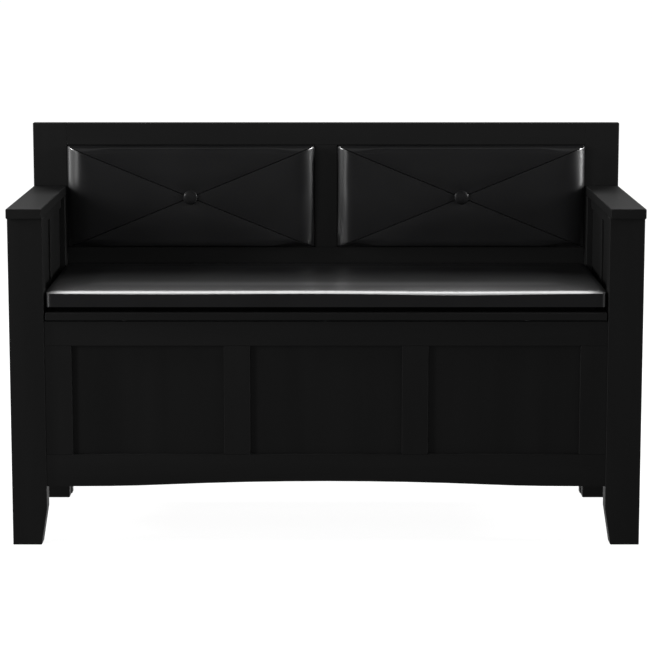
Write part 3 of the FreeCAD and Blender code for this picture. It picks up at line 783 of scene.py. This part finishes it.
def makeButton(hand):
    # a covered button: a short drum whose face is inset again and again up a dome
    low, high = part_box("back_cushion_" + hand)
    middle = (low + high) / 2
    rimFront = button["front"] + button["dome"]
    deselectAll()
    bpy.ops.mesh.primitive_cylinder_add(vertices=button["around"], radius=button["radius"],
                                        depth=button["rim"], rotation=(math.pi / 2, 0, 0),
                                        location=(middle.x, rimFront + button["rim"] / 2, middle.z))
    piece = bpy.context.object
    piece.name = "coveredButton" + hand.capitalize()
    bpy.ops.object.transform_apply(location=True, rotation=True, scale=True)
    editOnly(piece, "FACE", lambda face: face.normal.y < -0.9)
    radius = button["radius"]
    height = 0
    for ring in range(1, button["rings"]):
        turn = math.pi / 2 * ring / button["rings"]
        nextRadius = button["radius"] * math.cos(turn)
        nextHeight = button["dome"] * math.sin(turn)
        bpy.ops.mesh.inset(thickness=radius - nextRadius, depth=nextHeight - height)
        radius = nextRadius
        height = nextHeight
    bpy.ops.mesh.poke(offset=button["dome"] - height)
    bpy.ops.object.mode_set(mode="OBJECT")
    smoothed(piece, button["smoothAngle"])
    piece.data.materials.append(buttonCover)
    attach(piece, "frame")
    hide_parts("back_button_" + hand)
    return piece


screw = {"around": 24, "hingeRadius": 0.0031, "hingeHigh": 0.0009, "padRadius": 0.0046, "padHigh": 0.0024,
         "slotShare": 0.62, "slotWide": 0.19, "hingeSpread": 0.021, "leafFace": 0.0020, "leafMiddle": 0.015,
         "hingeX": (-0.4, 0, 0.4), "padX": (0.17, 0.47), "padY": (-0.150, 0.060),
         "insets": ((0.16, 0.30), (0.26, 0.20)), "smoothAngle": 35}  # insets: shares of radius and height


def cutSlot(head, length, width, depth, top):
    deselectAll()
    bpy.ops.mesh.primitive_cube_add(size=1, location=(0, 0, top))
    blade = bpy.context.object
    blade.dimensions = (length, width, depth)
    bpy.ops.object.transform_apply(location=True, rotation=True, scale=True)
    pick(head)
    cut = head.modifiers.new("slot", "BOOLEAN")
    cut.operation = "DIFFERENCE"
    cut.object = blade
    bpy.ops.object.modifier_apply(modifier="slot")
    bpy.data.objects.remove(blade)


def makeScrewHead(name, radius, high):
    # a low domed head with a cross recess, standing on its underside at the origin
    deselectAll()
    bpy.ops.mesh.primitive_cylinder_add(vertices=screw["around"], radius=radius, depth=high / 2,
                                        location=(0, 0, high / 4))
    head = bpy.context.object
    head.name = name
    bpy.ops.object.transform_apply(location=True, rotation=True, scale=True)
    editOnly(head, "FACE", lambda face: face.normal.z > 0.9)
    for inward, upward in screw["insets"]:
        bpy.ops.mesh.inset(thickness=radius * inward, depth=high * upward)
    bpy.ops.object.mode_set(mode="OBJECT")
    length = 2 * radius * screw["slotShare"]
    cutSlot(head, length, 2 * radius * screw["slotWide"], high, high)
    cutSlot(head, 2 * radius * screw["slotWide"], length, high, high)
    smoothed(head, screw["smoothAngle"])
    return head


def setScrews(name, head, places, turn, body):
    # one copy of the head at each place, joined to one piece
    copies = []
    for place in places:
        pick(head)
        bpy.ops.object.duplicate(linked=False)
        one = bpy.context.object
        one.location = place
        one.rotation_euler = turn
        bpy.ops.object.transform_apply(location=True, rotation=True, scale=True)
        copies.append(one)
    deselectAll()
    for one in copies:
        one.select_set(True)
    bpy.context.view_layer.objects.active = copies[0]
    bpy.ops.object.join()
    piece = bpy.context.object
    piece.name = name
    piece.data.name = name
    piece.data.materials.clear()
    piece.data.materials.append(hingeSteel)
    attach(piece, body)
    return piece


def makeScrews():
    pinLow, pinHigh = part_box("hinge_pins")
    axis = (pinLow + pinHigh) / 2
    lidLow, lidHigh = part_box("seat_lid")
    hingeXs = [x + side * screw["hingeSpread"] for x in screw["hingeX"] for side in (-1, 1)]
    small = makeScrewHead("hingeScrewHead", screw["hingeRadius"], screw["hingeHigh"])
    large = makeScrewHead("padScrewHead", screw["padRadius"], screw["padHigh"])
    setScrews("hingeRailScrews", small,
              [(x, axis.y - screw["leafFace"], axis.z - screw["leafMiddle"]) for x in hingeXs],
              (-math.pi / 2, 0, 0), "frame")
    setScrews("hingeLidScrews", small,
              [(x, axis.y + screw["leafMiddle"], axis.z + screw["leafFace"]) for x in hingeXs],
              (math.pi, 0, 0), "lid")
    setScrews("padScrews", large,
              [(side * x, y, lidLow.z) for x in screw["padX"] for side in (-1, 1) for y in screw["padY"]],
              (math.pi, 0, 0), "lid")
    bpy.data.objects.remove(small)
    bpy.data.objects.remove(large)


makeSeatCushion()
print("seat cushion filled")
for hand in ("left", "right"):
    makeBackCushion(hand)
    makeButton(hand)
print("back cushions filled")
makeScrews()
print("screws set")
